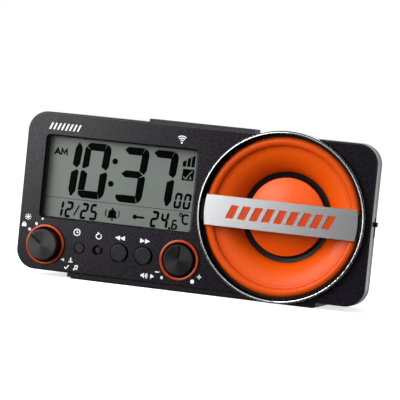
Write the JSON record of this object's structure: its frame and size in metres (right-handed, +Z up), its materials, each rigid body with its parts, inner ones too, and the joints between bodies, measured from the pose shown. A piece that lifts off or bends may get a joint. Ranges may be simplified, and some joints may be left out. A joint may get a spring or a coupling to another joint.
{
  "type": "digital alarm clock",
  "caption": "Wide digital alarm clock with a display window, a row of knobs and buttons, a round speaker in a bright ring, a snooze bar on top and a battery door behind.",
  "frame": {"origin": "on the ground under the middle of the case, on the foot pad", "axes": "+X to the right seen from the front, +Y from the front panel to the back, +Z up"},
  "size_m": [0.1813, 0.05, 0.0847],
  "materials": {
    "panel_black": "fine matte grain",
    "case_black": "fine matte grain",
    "foot_black": "matte",
    "pad_rubber": "matte",
    "knob_black": "satin",
    "button_black": "satin",
    "snooze_grey": "satin",
    "ring_orange": "gloss",
    "chrome_trim": "polished",
    "bar_silver": "satin brushed",
    "bridge_black": "matte",
    "gasket_black": "matte",
    "surround_orange": "satin",
    "cone_orange": "satin",
    "lens_clear": "clear",
    "lcd_grey": "satin",
    "frame_black": "matte",
    "guide_white": "satin",
    "strip_pink": "matte",
    "board_green": "satin",
    "chip_black": "satin",
    "switch_grey": "matte",
    "steel": "plain",
    "basket_black": "matte",
    "spider_cloth": "woven",
    "coil_copper": "enamelled",
    "ferrite": "matte",
    "cell_wrap": "gloss"
  },
  "bodies": {
    "base": {"aa_cell_1": "cell_wrap", "aa_cell_2": "cell_wrap", "aa_cell_3": "cell_wrap", "alarm_switch": "switch_grey", "antenna_coil": "coil_copper", "antenna_rod": "ferrite", "bar_bridge": "bridge_black", "bar_inlays": "ring_orange", "base_foot": "foot_black", "basket": "basket_black", "battery_plates": "steel", "battery_springs": "steel", "board_screws": "steel", "case_screws": "steel", "controller_chip": "chip_black", "foot_pad": "pad_rubber", "front_bar": "bar_silver", "front_panel": "panel_black", "key_switches": "switch_grey", "lcd_backlight": "guide_white", "lcd_frame": "frame_black", "lcd_glass": "lcd_grey", "magnet": "ferrite", "main_board": "board_green", "mode_encoder": "switch_grey", "mode_ring": "ring_orange", "pole_yoke": "steel", "rear_case": "case_black", "snooze_switches": "switch_grey", "speaker_gasket": "gasket_black", "spider": "spider_cloth", "surround": "surround_orange", "thermistor": "chip_black", "top_plate": "steel", "trim_ring": "chrome_trim", "volume_pot": "switch_grey", "volume_ring": "ring_orange", "window_lens": "lens_clear", "zebra_strips": "strip_pink"},
    "mode_plunger": {"mode_plunger": "switch_grey"},
    "mode_knob": {"mode_knob": "knob_black", "mode_shaft": "steel"},
    "volume_knob": {"volume_knob": "knob_black", "volume_shaft": "steel"},
    "set_button": {"set_button": "button_black", "set_plunger": "switch_grey"},
    "reset_button": {"reset_button": "button_black", "reset_plunger": "switch_grey"},
    "back_button": {"back_button": "button_black", "back_plunger": "switch_grey"},
    "forward_button": {"forward_button": "button_black", "forward_plunger": "switch_grey"},
    "snooze_bar": {"snooze_bar": "snooze_grey", "snooze_plungers": "switch_grey"},
    "alarm_slider": {"alarm_slider": "button_black"},
    "battery_lid": {"battery_lid": "case_black"},
    "speaker_cone": {"cone": "cone_orange", "coil_collar": "gasket_black", "dust_cap": "cone_orange", "voice_coil": "coil_copper"}
  },
  "joints": [
    {"name": "mode_push", "type": "slide", "parent": "base", "child": "mode_plunger", "axis": [0, 1, 0], "range_m": [0, 0.0012], "stiffness_N_per_m": 800, "springref_m": -0.001},
    {"name": "mode_turn", "type": "hinge", "parent": "mode_plunger", "child": "mode_knob", "pos_m": [-0.0749, -0.022, 0.0157], "axis": [0, 1, 0], "range_deg": [0, 46]},
    {"name": "volume_turn", "type": "hinge", "parent": "base", "child": "volume_knob", "pos_m": [-0.0045, -0.022, 0.0157], "axis": [0, 1, 0], "range_deg": [-144, 140]},
    {"name": "set_press", "type": "slide", "parent": "base", "child": "set_button", "axis": [0, 1, 0], "range_m": [0, 0.0008], "stiffness_N_per_m": 600, "springref_m": -0.0008},
    {"name": "reset_press", "type": "slide", "parent": "base", "child": "reset_button", "axis": [0, 1, 0], "range_m": [0, 0.0008], "stiffness_N_per_m": 600, "springref_m": -0.0008},
    {"name": "back_press", "type": "slide", "parent": "base", "child": "back_button", "axis": [0, 1, 0], "range_m": [0, 0.0008], "stiffness_N_per_m": 600, "springref_m": -0.0008},
    {"name": "forward_press", "type": "slide", "parent": "base", "child": "forward_button", "axis": [0, 1, 0], "range_m": [0, 0.0008], "stiffness_N_per_m": 600, "springref_m": -0.0008},
    {"name": "snooze_press", "type": "slide", "parent": "base", "child": "snooze_bar", "axis": [0, 0, -1], "range_m": [0, 0.0012], "stiffness_N_per_m": 800, "springref_m": -0.001},
    {"name": "alarm_slide", "type": "slide", "parent": "base", "child": "alarm_slider", "axis": [0, 0, -1], "range_m": [0, 0.003]},
    {"name": "lid_swing", "type": "hinge", "parent": "base", "child": "battery_lid", "pos_m": [-0.04435, 0.022, 0.0187], "axis": [-1, 0, 0], "range_deg": [0, 70]},
    {"name": "cone_stroke", "type": "slide", "parent": "base", "child": "speaker_cone", "axis": [0, -1, 0], "range_m": [-0.001, 0.001], "stiffness_N_per_m": 1500, "deforming": ["surround", "spider"]}
  ]
}
